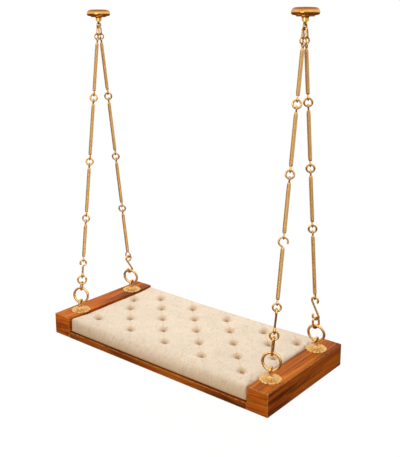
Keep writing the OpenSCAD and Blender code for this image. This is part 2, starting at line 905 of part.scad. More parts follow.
module base_panel() {
    color(TEAK)
        translate([-bay_l / 2, -bay_w / 2, low_rail_z - panel_t])
            cube([bay_l, bay_w, panel_t]);
}

module battens() {
    step = (bay_l - batten_w) / (batten_count - 1);
    color(TEAK)
        for (n = [0:batten_count - 1])
            translate([-bay_l / 2 + n * step, -bay_w / 2, floor_z])
                cube([batten_w, bay_w, low_rail_h - panel_t]);
}

// ---- Cushion ----

cushion_w = bed_w - 4;
cushion_z = low_rail_z + cushion_gap;

// Stations across the cushion: close together over the rolled edges, even between them
function stations(l, count) = let (r = cushion_edge_r, flat = l / 2 - r)
    concat(
        [for (a = [0, 35, 65]) -flat - r * cos(a)],
        [for (n = [0:count]) -flat + n * 2 * flat / count],
        [for (a = [65, 35, 0]) flat + r * cos(a)]
    );

// How far the rolled edge has fallen at a distance from the middle
function roll(at, half) = let (r = cushion_edge_r, over = abs(at) - (half - r))
    over <= 0 ? 0 : r - sqrt(max(0, r * r - over * over));

function dip(x, y) = tuft_depth * max([
    for (t = tufts)
        let (d2 = pow(x - t.x, 2) + pow(y - t.y, 2))
            pow(2, -4 * d2 / (tuft_d * tuft_d))
]);

function cushion_top(x, y) =
    timber_z + cushion_shoulder
    + (cushion_crown - cushion_shoulder)
        * (1 - pow(2 * abs(x) / cushion_l, 4)) * (1 - pow(2 * abs(y) / cushion_w, 4))
    - dip(x, y)
    - min(cushion_edge_r, roll(x, cushion_l / 2) + roll(y, cushion_w / 2));

module cushion() {
    xs = stations(cushion_l, 34);
    ys = stations(cushion_w, 14);
    nx = len(xs);
    ny = len(ys);
    top = [for (y = ys) for (x = xs) [x, y, cushion_top(x, y)]];
    // The rim of the top, once round
    rim = concat(
        [for (i = [0:nx - 2]) i],
        [for (j = [0:ny - 2]) j * nx + nx - 1],
        [for (i = [nx - 1:-1:1]) (ny - 1) * nx + i],
        [for (j = [ny - 1:-1:1]) j * nx]
    );
    count = len(rim);
    in_x = 1 - 2 * cushion_draw / cushion_l;
    in_y = 1 - 2 * cushion_draw / cushion_w;
    foot = [for (k = rim) [top[k].x * in_x, top[k].y * in_y, cushion_z]];
    base = nx * ny;
    top_faces = [
        for (j = [0:ny - 2])
            for (i = [0:nx - 2])
                for (half = [0, 1])
                    let (k = j * nx + i)
                        half == 0 ? [k, k + nx, k + 1] : [k + 1, k + nx, k + nx + 1]
    ];
    side_faces = [
        for (k = [0:count - 1])
            for (half = [0, 1])
                let (next = (k + 1) % count)
                    half == 0
                        ? [rim[k], rim[next], base + k]
                        : [rim[next], base + next, base + k]
    ];
    foot_middle = [[0, 0, cushion_z]];
    foot_faces = [
        for (k = [0:count - 1])
            [base + k, base + (k + 1) % count, base + count]
    ];
    color(FABRIC)
        polyhedron(concat(top, foot, foot_middle), concat(top_faces, side_faces, foot_faces));
}

// ---- The pieces ----

for (s = [0:1]) {
    canopy(2 * s - 1);
    ceiling_eye(2 * s - 1);
    top_ring(2 * s - 1);
    end_rail(2 * s - 1);
}
for (i = [0:3]) {
    upper_oval_link(i);
    upper_round_link(i);
    rod_1(i);
    rod_2(i);
    rod_3(i);
    rod_4(i);
    connecting_rings(i);
    big_ring(i);
}
s_hook_front_left();
s_hook_back_left();
s_hook_front_right();
s_hook_back_right();
split_ring_front_left();
short_link_front_left();
open_link_back_right();
round_link_front_right();
long_link_front_right();
low_rail(-1);  // front_rail
low_rail(1);  // back_rail
base_panel();
battens();
rail_pegs();
cushion();
rosettes();
eye_bolts();
washers();
nuts();
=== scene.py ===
import math

import bpy
import numpy as np
from mathutils import Matrix, Vector


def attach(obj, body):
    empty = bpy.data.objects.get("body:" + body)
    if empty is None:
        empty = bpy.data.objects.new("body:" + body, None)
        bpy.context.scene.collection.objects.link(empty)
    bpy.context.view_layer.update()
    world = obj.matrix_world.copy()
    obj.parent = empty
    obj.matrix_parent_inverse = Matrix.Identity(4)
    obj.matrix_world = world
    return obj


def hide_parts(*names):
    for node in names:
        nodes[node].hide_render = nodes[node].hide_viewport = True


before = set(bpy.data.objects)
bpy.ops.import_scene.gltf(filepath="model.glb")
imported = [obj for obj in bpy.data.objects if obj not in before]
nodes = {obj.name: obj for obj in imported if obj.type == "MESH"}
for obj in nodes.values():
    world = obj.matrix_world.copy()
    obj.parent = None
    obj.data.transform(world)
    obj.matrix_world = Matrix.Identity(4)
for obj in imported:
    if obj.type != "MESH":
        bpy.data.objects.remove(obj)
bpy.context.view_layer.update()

scene = bpy.context.scene

# ---- Camera, light, floor and ceiling ----
# The bed hangs in a white room. The camera stands to the right of the front, a little under
# the ceiling, and looks down on it.

VIEW_TURN = math.radians(-39.29)
VIEW_DOWN = math.radians(13.12)
camera = bpy.data.objects.new("camera", bpy.data.cameras.new("camera"))
scene.collection.objects.link(camera)
scene.camera = camera
camera.location = (2.897, -3.447, -0.069)
look = Vector((
    math.sin(VIEW_TURN) * math.cos(VIEW_DOWN),
    math.cos(VIEW_TURN) * math.cos(VIEW_DOWN),
    -math.sin(VIEW_DOWN),
))
camera.rotation_euler = look.to_track_quat("-Z", "Y").to_euler()
camera.data.lens = 56.95
camera.data.shift_y = -0.0875
camera.data.clip_start = 0.05
camera.data.clip_end = 100.0


def new_material(name):
    """An empty node material, and a function that adds a node to it with its settings."""
    material = bpy.data.materials.new(name)
    material.use_nodes = True
    tree = material.node_tree
    tree.nodes.clear()

    def add(kind, inputs=None, **settings):
        made = tree.nodes.new("ShaderNode" + kind)
        for key, value in settings.items():
            setattr(made, key, value)
        for key, value in (inputs or {}).items():
            if isinstance(value, bpy.types.NodeSocket):
                tree.links.new(value, made.inputs[key])
            else:
                made.inputs[key].default_value = value
        return made

    return material, add


def lamp(name, place, target, size, power, colour=(1, 1, 1)):
    """A square soft lamp that points at a spot."""
    data = bpy.data.lights.new(name, "AREA")
    data.size = size
    data.energy = power
    data.color = colour
    made = bpy.data.objects.new(name, data)
    scene.collection.objects.link(made)
    made.location = place
    made.rotation_euler = (Vector(target) - Vector(place)).to_track_quat("-Z", "Y").to_euler()
    return made


# The room is white to the camera. Brass mirrors a ceiling that is bright and walls that darken
# downwards, which gives its wires their dark undersides.
world = bpy.data.worlds.new("room")
scene.world = world
world.use_nodes = True
room = world.node_tree
room.nodes.clear()
ray = room.nodes.new("ShaderNodeLightPath")
seen = room.nodes.new("ShaderNodeMath")
seen.operation = "MAXIMUM"
room.links.new(ray.outputs["Is Camera Ray"], seen.inputs[0])
room.links.new(ray.outputs["Is Transmission Ray"], seen.inputs[1])
white_room = room.nodes.new("ShaderNodeBackground")
white_room.inputs["Color"].default_value = (1, 1, 1, 1)
soft_light = room.nodes.new("ShaderNodeBackground")
soft_light.inputs["Color"].default_value = (1, 0.975, 0.94, 1)
soft_light.inputs["Strength"].default_value = 0.50
direction = room.nodes.new("ShaderNodeTexCoord")
split = room.nodes.new("ShaderNodeSeparateXYZ")
room.links.new(direction.outputs["Generated"], split.inputs[0])
level = room.nodes.new("ShaderNodeMapRange")
level.inputs["From Min"].default_value = -1.0
room.links.new(split.outputs["Z"], level.inputs["Value"])
walls = room.nodes.new("ShaderNodeValToRGB")
walls.color_ramp.elements[0].position = 0.34
walls.color_ramp.elements[0].color = (0.26, 0.14, 0.055, 1)
walls.color_ramp.elements[1].position = 0.74
walls.color_ramp.elements[1].color = (1, 0.98, 0.94, 1)
half_way = walls.color_ramp.elements.new(0.50)
half_way.color = (0.76, 0.66, 0.52, 1)
room.links.new(level.outputs[0], walls.inputs["Fac"])
mirrored = room.nodes.new("ShaderNodeBackground")
mirrored.inputs["Strength"].default_value = 1.25
room.links.new(walls.outputs["Color"], mirrored.inputs["Color"])
dim = room.nodes.new("ShaderNodeMixShader")
room.links.new(ray.outputs["Is Glossy Ray"], dim.inputs[0])
room.links.new(soft_light.outputs[0], dim.inputs[1])
room.links.new(mirrored.outputs[0], dim.inputs[2])
choose = room.nodes.new("ShaderNodeMixShader")
room.links.new(seen.outputs[0], choose.inputs[0])
room.links.new(dim.outputs[0], choose.inputs[1])
room.links.new(white_room.outputs[0], choose.inputs[2])
room_out = room.nodes.new("ShaderNodeOutputWorld")
room.links.new(choose.outputs[0], room_out.inputs["Surface"])
scene.view_settings.view_transform = "Standard"

# The brass doesn't mirror this lamp, which would whiten the canopies' edges
overhead_lamp = lamp("overhead_lamp", (-0.35, 0.6, 0.75), (0, 0, -2.1), 1.4, 46)
overhead_lamp.visible_glossy = False
lamp("front_lamp", (1.2, -4.2, -0.4), (0, 0, -1.6), 2.2, 46, (1, 0.88, 0.74))

ROOM_SPAN = 60
FLOOR_LEVEL = -2.70
CEILING_LEVEL = 0.0002   # just clear of the canopies' flat tops


def room_plane(name, level):
    """A wide level plane of the room."""
    bpy.ops.object.select_all(action="DESELECT")
    bpy.ops.mesh.primitive_plane_add(size=ROOM_SPAN, location=(0, 0, level))
    made = bpy.context.object
    made.name = name
    return made


# The floor is white to the camera, throws back a warm light and is clear from below
floor = room_plane("floor", FLOOR_LEVEL)
floor_paint, add = new_material("floor_paint")
ray = add("LightPath")
facing = add("NewGeometry")
share = add("Math", {0: ray.outputs["Is Camera Ray"], 1: 0.945}, operation="MULTIPLY")
matt = add("BsdfDiffuse", {"Color": (0.66, 0.52, 0.38, 1)})
glow = add("Emission", {"Color": (1, 1, 1, 1), "Strength": 1.05})
seen_white = add("MixShader", {0: share.outputs[0], 1: matt.outputs[0], 2: glow.outputs[0]})
dark_floor = add("Emission", {"Color": (0.18, 0.085, 0.030, 1), "Strength": 1.0})
both = add("MixShader", {0: ray.outputs["Is Glossy Ray"], 1: seen_white.outputs[0],
                         2: dark_floor.outputs[0]})
from_below = add("Math", {0: ray.outputs["Is Camera Ray"], 1: facing.outputs["Backfacing"]},
                 operation="MULTIPLY")
clear = add("BsdfTransparent")
one_way = add("MixShader", {0: from_below.outputs[0], 1: both.outputs[0], 2: clear.outputs[0]})
add("OutputMaterial", {"Surface": one_way.outputs[0]})
floor.data.materials.append(floor_paint)

# The ceiling is white to a camera under it, hides the studs in it, and is clear to all else
ceiling = room_plane("ceiling", CEILING_LEVEL)
ceiling_paint, add = new_material("ceiling_paint")
ray = add("LightPath")
facing = add("NewGeometry")
from_below = add("Math", {0: ray.outputs["Is Camera Ray"], 1: facing.outputs["Backfacing"]},
                 operation="MULTIPLY")
clear = add("BsdfTransparent")
glow = add("Emission", {"Color": (1, 1, 1, 1), "Strength": 1.05})
one_way = add("MixShader", {0: from_below.outputs[0], 1: clear.outputs[0], 2: glow.outputs[0]})
add("OutputMaterial", {"Surface": one_way.outputs[0]})
ceiling.data.materials.append(ceiling_paint)

# ---- End beams ----
# Square beams of oiled hardwood that close the bed at each end. Their grain runs from front
# to back. Their edges are pale, partly rubbed by use and partly a painted highlight.


def wood(name, grain, shift, light=1.0):
    """Oiled hardwood with its grain along X or Y. shift moves the figure, so no two boards match.
    The figure is turned a few degrees in its board, so the ends show long streaks too."""
    material, add = new_material(name)
    place = add("TexCoord")
    facing = add("NewGeometry")
    part = add("SeparateXYZ", {0: facing.outputs["True Normal"]})
    end_part = add("Math", {0: part.outputs[grain]}, operation="ABSOLUTE")
    on_end = add("Math", {0: end_part.outputs[0], 1: 0.7}, operation="GREATER_THAN")
    quarter = add("Mapping", {"Vector": place.outputs["Object"], "Rotation": (0.12, 0.1, math.pi / 2)})
    board = add("Mix", {"Factor": on_end.outputs[0], "A": place.outputs["Object"],
                        "B": quarter.outputs[0]}, data_type="VECTOR")
    long_way = {"X": (1.0, 9.0, 9.0), "Y": (9.0, 1.0, 9.0)}[grain]
    laid = add("Mapping", {"Vector": board.outputs["Result"], "Location": shift, "Scale": long_way})
    # Slow bends that carry the figure with them
    bend = add("TexNoise", {"Vector": laid.outputs[0], "Scale": 0.55, "Detail": 2.0, "Roughness": 0.5})
    off_centre = add("VectorMath", {0: bend.outputs["Color"], 1: (0.5, 0.5, 0.5)}, operation="SUBTRACT")
    amount = add("VectorMath", {0: off_centre.outputs[0], "Scale": 1.5}, operation="SCALE")
    carried = add("VectorMath", {0: laid.outputs[0], 1: amount.outputs[0]}, operation="ADD")
    figure = add("TexNoise", {"Vector": carried.outputs[0], "Scale": 1.6, "Detail": 6.0,
                              "Roughness": 0.62, "Distortion": 0.4})
    streak_way = {"X": (1.2, 70.0, 70.0), "Y": (70.0, 1.2, 70.0)}[grain]
    fine = add("Mapping", {"Vector": board.outputs["Result"], "Location": shift, "Scale": streak_way})
    streaks = add("TexNoise", {"Vector": fine.outputs[0], "Scale": 1.3, "Detail": 4.0, "Roughness": 0.6})
    pore_way = {"X": (9.0, 420.0, 420.0), "Y": (420.0, 9.0, 420.0)}[grain]
    small = add("Mapping", {"Vector": board.outputs["Result"], "Scale": pore_way})
    pores = add("TexNoise", {"Vector": small.outputs[0], "Scale": 1.0, "Detail": 2.0})
    joined = add("Math", {0: streaks.outputs["Fac"], 1: 0.45}, operation="MULTIPLY")
    both = add("Math", {0: figure.outputs["Fac"], 1: joined.outputs[0]}, operation="ADD")
    tone = add("ValToRGB", {"Fac": both.outputs[0]})
    ramp = tone.color_ramp
    ramp.elements[0].position = 0.54
    ramp.elements[0].color = (0.13 * light, 0.024 * light, 0.002 * light, 1)
    ramp.elements[1].position = 0.96
    ramp.elements[1].color = (0.72 * light, 0.225 * light, 0.024 * light, 1)
    for spot, colour in [(0.62, (0.25, 0.050, 0.004)), (0.70, (0.42, 0.094, 0.006)),
                         (0.82, (0.55, 0.145, 0.010))]:
        stop = ramp.elements.new(spot)
        stop.color = (*[c * light for c in colour], 1)
    pore_dark = add("MapRange", {"Value": pores.outputs["Fac"], "From Min": 0.30, "From Max": 0.50,
                                 "To Min": 0.62, "To Max": 1.0})
    veined = add("Mix", {"Factor": 1.0, "A": tone.outputs["Color"], "B": pore_dark.outputs[0]},
                 data_type="RGBA", blend_type="MULTIPLY")
    # Pale edges, partly rubbed and partly a painted highlight, where the rounded normal leaves the flat
    # one, but not against another board
    nook = add("AmbientOcclusion", {"Distance": 0.02}, samples=6)
    free = add("MapRange", {"Value": nook.outputs["AO"], "From Min": 0.78, "From Max": 0.94})
    rounded = add("Bevel", {"Radius": 0.010}, samples=8)
    match = add("VectorMath", {0: rounded.outputs[0], 1: facing.outputs["True Normal"]},
                operation="DOT_PRODUCT")
    edge = add("MapRange", {"Value": match.outputs["Value"], "From Min": 0.985, "From Max": 0.90})
    patchy = add("TexNoise", {"Vector": place.outputs["Object"], "Scale": 38.0, "Detail": 3.0})
    where = add("MapRange", {"Value": patchy.outputs["Fac"], "From Min": 0.34, "From Max": 0.54,
                             "To Min": 0.15, "To Max": 1.0})
    free_edge = add("Math", {0: edge.outputs[0], 1: free.outputs[0]}, operation="MULTIPLY")
    rub_and_highlight = add("Math", {0: free_edge.outputs[0], 1: where.outputs[0]}, operation="MULTIPLY")
    rubbed_and_highlit = add("Mix", {"Factor": rub_and_highlight.outputs[0], "A": veined.outputs["Result"],
                       "B": (0.92, 0.55, 0.22, 1)}, data_type="RGBA")
    gloss = add("MapRange", {"Value": streaks.outputs["Fac"], "To Min": 0.36, "To Max": 0.56})
    relief = add("Bump", {"Height": pores.outputs["Fac"], "Strength": 0.16, "Distance": 0.0006})
    shader = add("BsdfPrincipled", {"Base Color": rubbed_and_highlit.outputs["Result"],
                                    "Roughness": gloss.outputs[0], "Normal": relief.outputs[0],
                                    "Specular IOR Level": 0.08})
    add("OutputMaterial", {"Surface": shader.outputs[0]})
    return material


def dress(names, material):
    """Gives CAD pieces their finish."""
    for name in names:
        nodes[name].data.materials.clear()
        nodes[name].data.materials.append(material)


# The left beam's wood is painted lighter than the right's, partly as a painted reflection on its top
dress(["end_rail_left"], wood("beam_wood_left", "Y", (0.3, 0.0, 0.7), 1.3))
dress(["end_rail_right"], wood("beam_wood_right", "Y", (2.1, 0.4, 1.9), 1.06))

# ---- Low rails ----
# Thin rails of the same wood in front and behind, tenoned into the beams. Their grain runs
# along the bed.

dress(["front_rail"], wood("rail_wood_front", "X", (0.0, 1.3, 0.2), 0.82))
dress(["back_rail"], wood("rail_wood_back", "X", (0.0, 4.3, 3.2), 0.82))

# ---- Panel, battens and pegs ----
# A thin plywood panel on five cross battens carries the cushion. Round wooden pegs go up
# through the tenons of the low rails and lock them in the beams.

dress(["base_panel"], wood("panel_wood", "X", (5.0, 2.2, 1.1), 1.25))
dress(["battens"], wood("batten_wood", "Y", (1.0, 3.1, 4.0), 1.1))
dress(["rail_pegs"], wood("peg_wood", "Y", (3.3, 1.0, 2.5), 0.6))

# ---- Cushion ----
# A stuffed mattress in a thick, slubby cream weave, sewn through in rows of tufts. Its edge
# rolls over without piping, and it is flat where it lies on the panel.

CUSHION_HALF_L = 0.7546
CUSHION_HALF_W = 0.413
CUSHION_FOOT = -2.1766
TIMBER_TOP = -2.075
TUFT_PITCH = 0.308       # along a row
TUFT_ROW = 0.134         # from row to row
TUFT_LEAN = 0.024        # how far each row is shifted along the bed
TUFT_INSET = 0.09        # the least from a tuft to an end
TUFT_MARGIN = 0.035      # a tuft nearer to an end than this is left out
tuft_end = CUSHION_HALF_L - TUFT_INSET
tuft_places = []
for row in range(-2, 3):
    for k in range(-4, 4):
        x = (row + 2) * TUFT_LEAN + (0 if row % 2 == 0 else TUFT_PITCH / 2) + k * TUFT_PITCH
        if abs(x) < CUSHION_HALF_L - TUFT_MARGIN:
            tuft_places.append(Vector((max(-tuft_end, min(tuft_end, x)), row * TUFT_ROW)))

SLACK = 0.010            # what the stuffing fills out
HEAD_ROOM = 0.004        # what it fills out upwards
ROLL = 0.014             # radius of the rolled upper edges
FOOT_ROLL = 0.22         # share of it at the other edges
cushion_middle = (CUSHION_FOOT + TIMBER_TOP) / 2
bpy.ops.object.select_all(action="DESELECT")
bpy.ops.mesh.primitive_cube_add(size=1, location=(0, 0, cushion_middle))
cushion = bpy.context.object
cushion.name = "tufted_cushion"
cushion.scale = (
    2 * (CUSHION_HALF_L - SLACK),
    2 * (CUSHION_HALF_W - SLACK),
    TIMBER_TOP - CUSHION_FOOT - HEAD_ROOM,
)
bpy.ops.object.transform_apply(location=True, rotation=False, scale=True)
# The upper edges roll over, and the others stay close to square
round_share = cushion.data.attributes.new("bevel_weight_edge", "FLOAT", "EDGE")
for edge in cushion.data.edges:
    a, b = [cushion.data.vertices[k].co.z - cushion_middle for k in edge.vertices]
    round_share.data[edge.index].value = 1.0 if min(a, b) > 0 else FOOT_ROLL
roll = cushion.modifiers.new("roll", "BEVEL")
roll.limit_method = "WEIGHT"
roll.width = ROLL
roll.segments = 6
bpy.ops.object.modifier_apply(modifier=roll.name)
even = cushion.modifiers.new("even", "REMESH")
even.mode = "VOXEL"
even.voxel_size = 0.0065
bpy.ops.object.modifier_apply(modifier=even.name)

PILLOW_DEPTH = 0.017     # of the wide hollow round a tuft, before stuffing
PILLOW_R = 0.050
SEWN_R = 0.010           # the cover is held this far round a tuft
UPPER_BAND = 0.012       # depth of what counts as the upper side
UNDER_BAND = 0.003       # height of what lies on the panel


def places(piece):
    """Where a piece's vertices are, one row each."""
    found = np.zeros(len(piece.data.vertices) * 3)
    piece.data.vertices.foreach_get("co", found)
    return found.reshape(-1, 3)


def move_to(piece, rows):
    """Puts a piece's vertices where the rows say."""
    piece.data.vertices.foreach_set("co", rows.ravel())
    piece.data.update()


def from_tufts(rows):
    """The way to each place from its nearest tuft, and that tuft's number."""
    ways = rows[:, None, :2] - np.array([list(t) for t in tuft_places])[None]
    nearest = np.argmin((ways ** 2).sum(axis=2), axis=1)
    return ways[np.arange(len(rows)), nearest], nearest


at = places(cushion)
upper = at[:, 2] > at[:, 2].max() - UPPER_BAND
under = at[:, 2] < at[:, 2].min() + UNDER_BAND
away = np.hypot(*from_tufts(at)[0].T)
at[:, 2] -= upper * PILLOW_DEPTH * np.exp(-((away / PILLOW_R) ** 1.5))
move_to(cushion, at)
sewn = cushion.vertex_groups.new(name="sewn")
sewn.add([int(k) for k in np.flatnonzero((upper & (away < SEWN_R)) | under)], 1.0, "REPLACE")

# The stuffing blows the cover up a little between its tufts
FILL_FRAMES = 20
FILL_CAP = 0.024         # the most that it pushes the cover out
cloth = cushion.modifiers.new("stuffing", "CLOTH")
cloth.settings.quality = 5
cloth.settings.mass = 0.25
cloth.settings.tension_stiffness = 14
cloth.settings.compression_stiffness = 14
cloth.settings.shear_stiffness = 9
cloth.settings.bending_stiffness = 0.8
cloth.settings.use_pressure = True
cloth.settings.uniform_pressure_force = 2.2
cloth.settings.effector_weights.gravity = 0
cloth.settings.shrink_min = 0.002
cloth.settings.vertex_group_mass = "sewn"
for step in range(1, FILL_FRAMES + 1):
    scene.frame_set(step)
filled = cushion.evaluated_get(bpy.context.evaluated_depsgraph_get())
grown = places(filled) - at
cushion.modifiers.remove(cloth)
scene.frame_set(1)
far = np.linalg.norm(grown, axis=1)
grown *= np.minimum(1, FILL_CAP / np.maximum(far, 1e-9))[:, None]
move_to(cushion, at + grown)

# A finer net round the tufts, for the twine's pull and the pleats
FINE_R = 0.060
PULLED_FROM = TIMBER_TOP - 0.045   # the pull is felt above this level
centres = np.array([list(face.center) for face in cushion.data.polygons])
near = np.hypot(*from_tufts(centres)[0].T) < FINE_R
high = centres[:, 2] > PULLED_FROM
bpy.ops.object.mode_set(mode="EDIT")
bpy.ops.mesh.select_mode(type="FACE")
bpy.ops.object.mode_set(mode="OBJECT")
cushion.data.polygons.foreach_set("select", near & high)
bpy.ops.object.mode_set(mode="EDIT")
bpy.ops.mesh.subdivide(number_cuts=2, smoothness=0.6)
bpy.ops.object.mode_set(mode="OBJECT")

# The twine pulls a steep funnel at each tuft, with small pleats round it and a crease that runs
# aslant to the next tuft. Between the tufts the cushion is crowned.
FUNNEL_DEPTH = 0.031
FUNNEL_R = 0.020
PLEATS = 7
PLEAT_DEPTH = 0.0022
PLEAT_R = 0.024          # of the ring of pleats round a tuft
PLEAT_WIDTH = 0.012
PLEAT_TURN = 2.4         # from tuft to tuft, so that no two match
CREASE_DEPTH = 0.004
CREASE_L = 0.075
CREASE_W = 0.004
CROWN = 0.009
FADE = 0.03              # height in which the pull grows to its full strength
pull_way = Vector((TUFT_LEAN - TUFT_PITCH / 2, TUFT_ROW)).normalized()
at = places(cushion)
way, number = from_tufts(at)
away = np.hypot(*way.T)
turn = np.arctan2(way[:, 1], way[:, 0])
across = 1 - np.clip(np.abs(at[:, 0]) / CUSHION_HALF_L, 0, 1) ** 4
along = 1 - np.clip(np.abs(at[:, 1]) / CUSHION_HALF_W, 0, 1) ** 4
raised = np.clip((at[:, 2] - PULLED_FROM) / FADE, 0, 1)
funnel = FUNNEL_DEPTH * np.exp(-((away / FUNNEL_R) ** 1.3))
ring = np.exp(-(((away - PLEAT_R) / PLEAT_WIDTH) ** 2))
pleat = PLEAT_DEPTH * ring * (0.5 + 0.5 * np.cos(PLEATS * turn + PLEAT_TURN * number))
reach = way @ np.array([pull_way.x, pull_way.y])
beside = way @ np.array([-pull_way.y, pull_way.x])
crease = CREASE_DEPTH * np.exp(-((reach / CREASE_L) ** 2)) * np.exp(-((beside / CREASE_W) ** 2))
at[:, 2] += raised * (CROWN * across * along - funnel - pleat - crease)
at[:, 0] = np.clip(at[:, 0], -CUSHION_HALF_L, CUSHION_HALF_L)
at[:, 2] = np.maximum(at[:, 2], CUSHION_FOOT)
move_to(cushion, at)
bpy.ops.object.shade_smooth()
# The cloth's creases and the shade in its tufts are drawn from the way to the nearest tuft
to_tuft = cushion.data.attributes.new("from_tuft", "FLOAT_VECTOR", "POINT")
lifted = np.where(raised > 0.5, 0.0, 1.0)
to_tuft.data.foreach_set("vector", np.column_stack([way, lifted]).ravel())


def slub_weave(name):
    """Thick cream cloth: slubby threads run from back to front and over the edge, finer ones cross
    them. Shade is painted into it in tufts, creases and hollows, and low on its sides."""
    material, add = new_material(name)
    place = add("TexCoord")
    down = add("Mapping", {"Vector": place.outputs["Object"], "Scale": (210.0, 26.0, 26.0)})
    slubs = add("TexNoise", {"Vector": down.outputs[0], "Scale": 1.0, "Detail": 3.0, "Roughness": 0.6})
    thin = add("Mapping", {"Vector": place.outputs["Object"], "Scale": (520.0, 40.0, 40.0)})
    warp = add("TexNoise", {"Vector": thin.outputs[0], "Scale": 1.0, "Detail": 2.0})
    over = add("Mapping", {"Vector": place.outputs["Object"], "Scale": (30.0, 420.0, 420.0)})
    weft = add("TexNoise", {"Vector": over.outputs[0], "Scale": 1.0, "Detail": 2.0})
    broad = add("TexNoise", {"Vector": place.outputs["Object"], "Scale": 7.0, "Detail": 3.0})
    tone = add("ValToRGB", {"Fac": slubs.outputs["Fac"]})
    ramp = tone.color_ramp
    ramp.elements[0].position = 0.30
    ramp.elements[0].color = (0.70, 0.535, 0.38, 1)
    ramp.elements[1].position = 0.66
    ramp.elements[1].color = (0.93, 0.80, 0.64, 1)
    middle = ramp.elements.new(0.42)
    middle.color = (0.885, 0.745, 0.585, 1)
    threads = add("Math", {0: warp.outputs["Fac"], 1: weft.outputs["Fac"]}, operation="MULTIPLY")
    shade = add("MapRange", {"Value": threads.outputs[0], "From Min": 0.12, "From Max": 0.34,
                             "To Min": 0.86, "To Max": 1.03})
    woven = add("Mix", {"Factor": 1.0, "A": tone.outputs["Color"], "B": shade.outputs[0]},
                data_type="RGBA", blend_type="MULTIPLY")
    patch = add("MapRange", {"Value": broad.outputs["Fac"], "From Min": 0.3, "From Max": 0.7,
                             "To Min": 0.94, "To Max": 1.02})
    mottled = add("Mix", {"Factor": 1.0, "A": woven.outputs["Result"], "B": patch.outputs[0]},
                  data_type="RGBA", blend_type="MULTIPLY")
    # Painted shade in a tuft, reaching a little further on its far side
    tuft = add("Attribute", attribute_name="from_tuft")
    apart = add("SeparateXYZ", {0: tuft.outputs["Vector"]})
    leaned = add("VectorMath", {0: tuft.outputs["Vector"], 1: (0.010, -0.010, 0.0)}, operation="ADD")
    off = add("VectorMath", {0: leaned.outputs[0]}, operation="LENGTH")
    in_tuft = add("MapRange", {"Value": off.outputs["Value"], "From Min": 0.004, "From Max": 0.046,
                               "To Min": 1.0, "To Max": 0.0}, interpolation_type="SMOOTHSTEP")
    # The thin crease through it, painted dark as shade and pressed in by the bump
    along = add("VectorMath", {0: tuft.outputs["Vector"], 1: (pull_way.x, pull_way.y, 0.0)},
                operation="DOT_PRODUCT")
    across = add("VectorMath", {0: tuft.outputs["Vector"], 1: (-pull_way.y, pull_way.x, 0.0)},
                 operation="DOT_PRODUCT")
    side = add("Math", {0: across.outputs["Value"]}, operation="ABSOLUTE")
    reach = add("Math", {0: along.outputs["Value"]}, operation="ABSOLUTE")
    narrow = add("MapRange", {"Value": side.outputs[0], "From Min": 0.0005, "From Max": 0.0050,
                              "To Min": 1.0, "To Max": 0.0})
    short = add("MapRange", {"Value": reach.outputs[0], "From Min": 0.02, "From Max": 0.095,
                             "To Min": 0.55, "To Max": 0.08})
    on_top = add("Math", {0: apart.outputs["Z"], 1: 0.5}, operation="LESS_THAN")
    line = add("Math", {0: narrow.outputs[0], 1: short.outputs[0]}, operation="MULTIPLY")
    # Painted shade in the cloth's hollows, darker the more closed in it is
    hollow = add("AmbientOcclusion", {"Distance": 0.05}, samples=8)
    hollow_shade = add("MapRange", {"Value": hollow.outputs["AO"], "From Min": 0.25, "From Max": 0.85,
                            "To Min": 0.9, "To Max": 0.0})
    pit_shade = add("MapRange", {"Value": off.outputs["Value"], "From Min": 0.004, "From Max": 0.017,
                           "To Min": 0.35, "To Max": 0.0}, interpolation_type="SMOOTHSTEP")
    dimple_shade = add("Math", {0: in_tuft.outputs[0], 1: 0.55, 2: pit_shade.outputs[0]}, operation="MULTIPLY_ADD")
    tuft_shade = add("Math", {0: dimple_shade.outputs[0], 1: line.outputs[0]}, operation="MAXIMUM")
    tuft_shade_on_top = add("Math", {0: tuft_shade.outputs[0], 1: on_top.outputs[0]}, operation="MULTIPLY")
    dark = add("Math", {0: tuft_shade_on_top.outputs[0], 1: hollow_shade.outputs[0]}, operation="MAXIMUM")
    # Painted shade: the sides are darker and warmer towards the foot
    level = add("SeparateXYZ", {0: place.outputs["Object"]})
    low = add("MapRange", {"Value": level.outputs["Z"], "From Min": -2.160, "From Max": -2.084,
                           "To Min": 0.50, "To Max": 0.0})
    foot_shade = add("Mix", {"Factor": low.outputs[0], "A": mottled.outputs["Result"],
                         "B": (0.60, 0.41, 0.235, 1)}, data_type="RGBA")
    # Painted shade: the cloth is mixed towards brown in its tufts, creases and hollows
    cloth_colour = add("Mix", {"Factor": dark.outputs[0], "A": foot_shade.outputs["Result"],
                               "B": (0.50, 0.295, 0.135, 1)}, data_type="RGBA")
    height = add("Math", {0: slubs.outputs["Fac"], 1: threads.outputs[0]}, operation="ADD")
    creased = add("Math", {0: height.outputs[0], 1: line.outputs[0]}, operation="SUBTRACT")
    relief = add("Bump", {"Height": creased.outputs[0], "Strength": 0.22, "Distance": 0.0012})
    shader = add("BsdfPrincipled", {"Base Color": cloth_colour.outputs["Result"], "Roughness": 0.92,
                                    "Specular IOR Level": 0.1, "Normal": relief.outputs[0],
                                    "Sheen Weight": 0.08, "Sheen Roughness": 0.5})
    add("OutputMaterial", {"Surface": shader.outputs[0]})
    return material


cushion.data.materials.append(slub_weave("cushion_cloth"))
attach(cushion, "seat")
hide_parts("cushion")

# ---- Eye bolts, nuts and washers ----
# Forged brass eyes on shanks that run down through the beams, drawn up by steel nuts in
# counterbores underneath.


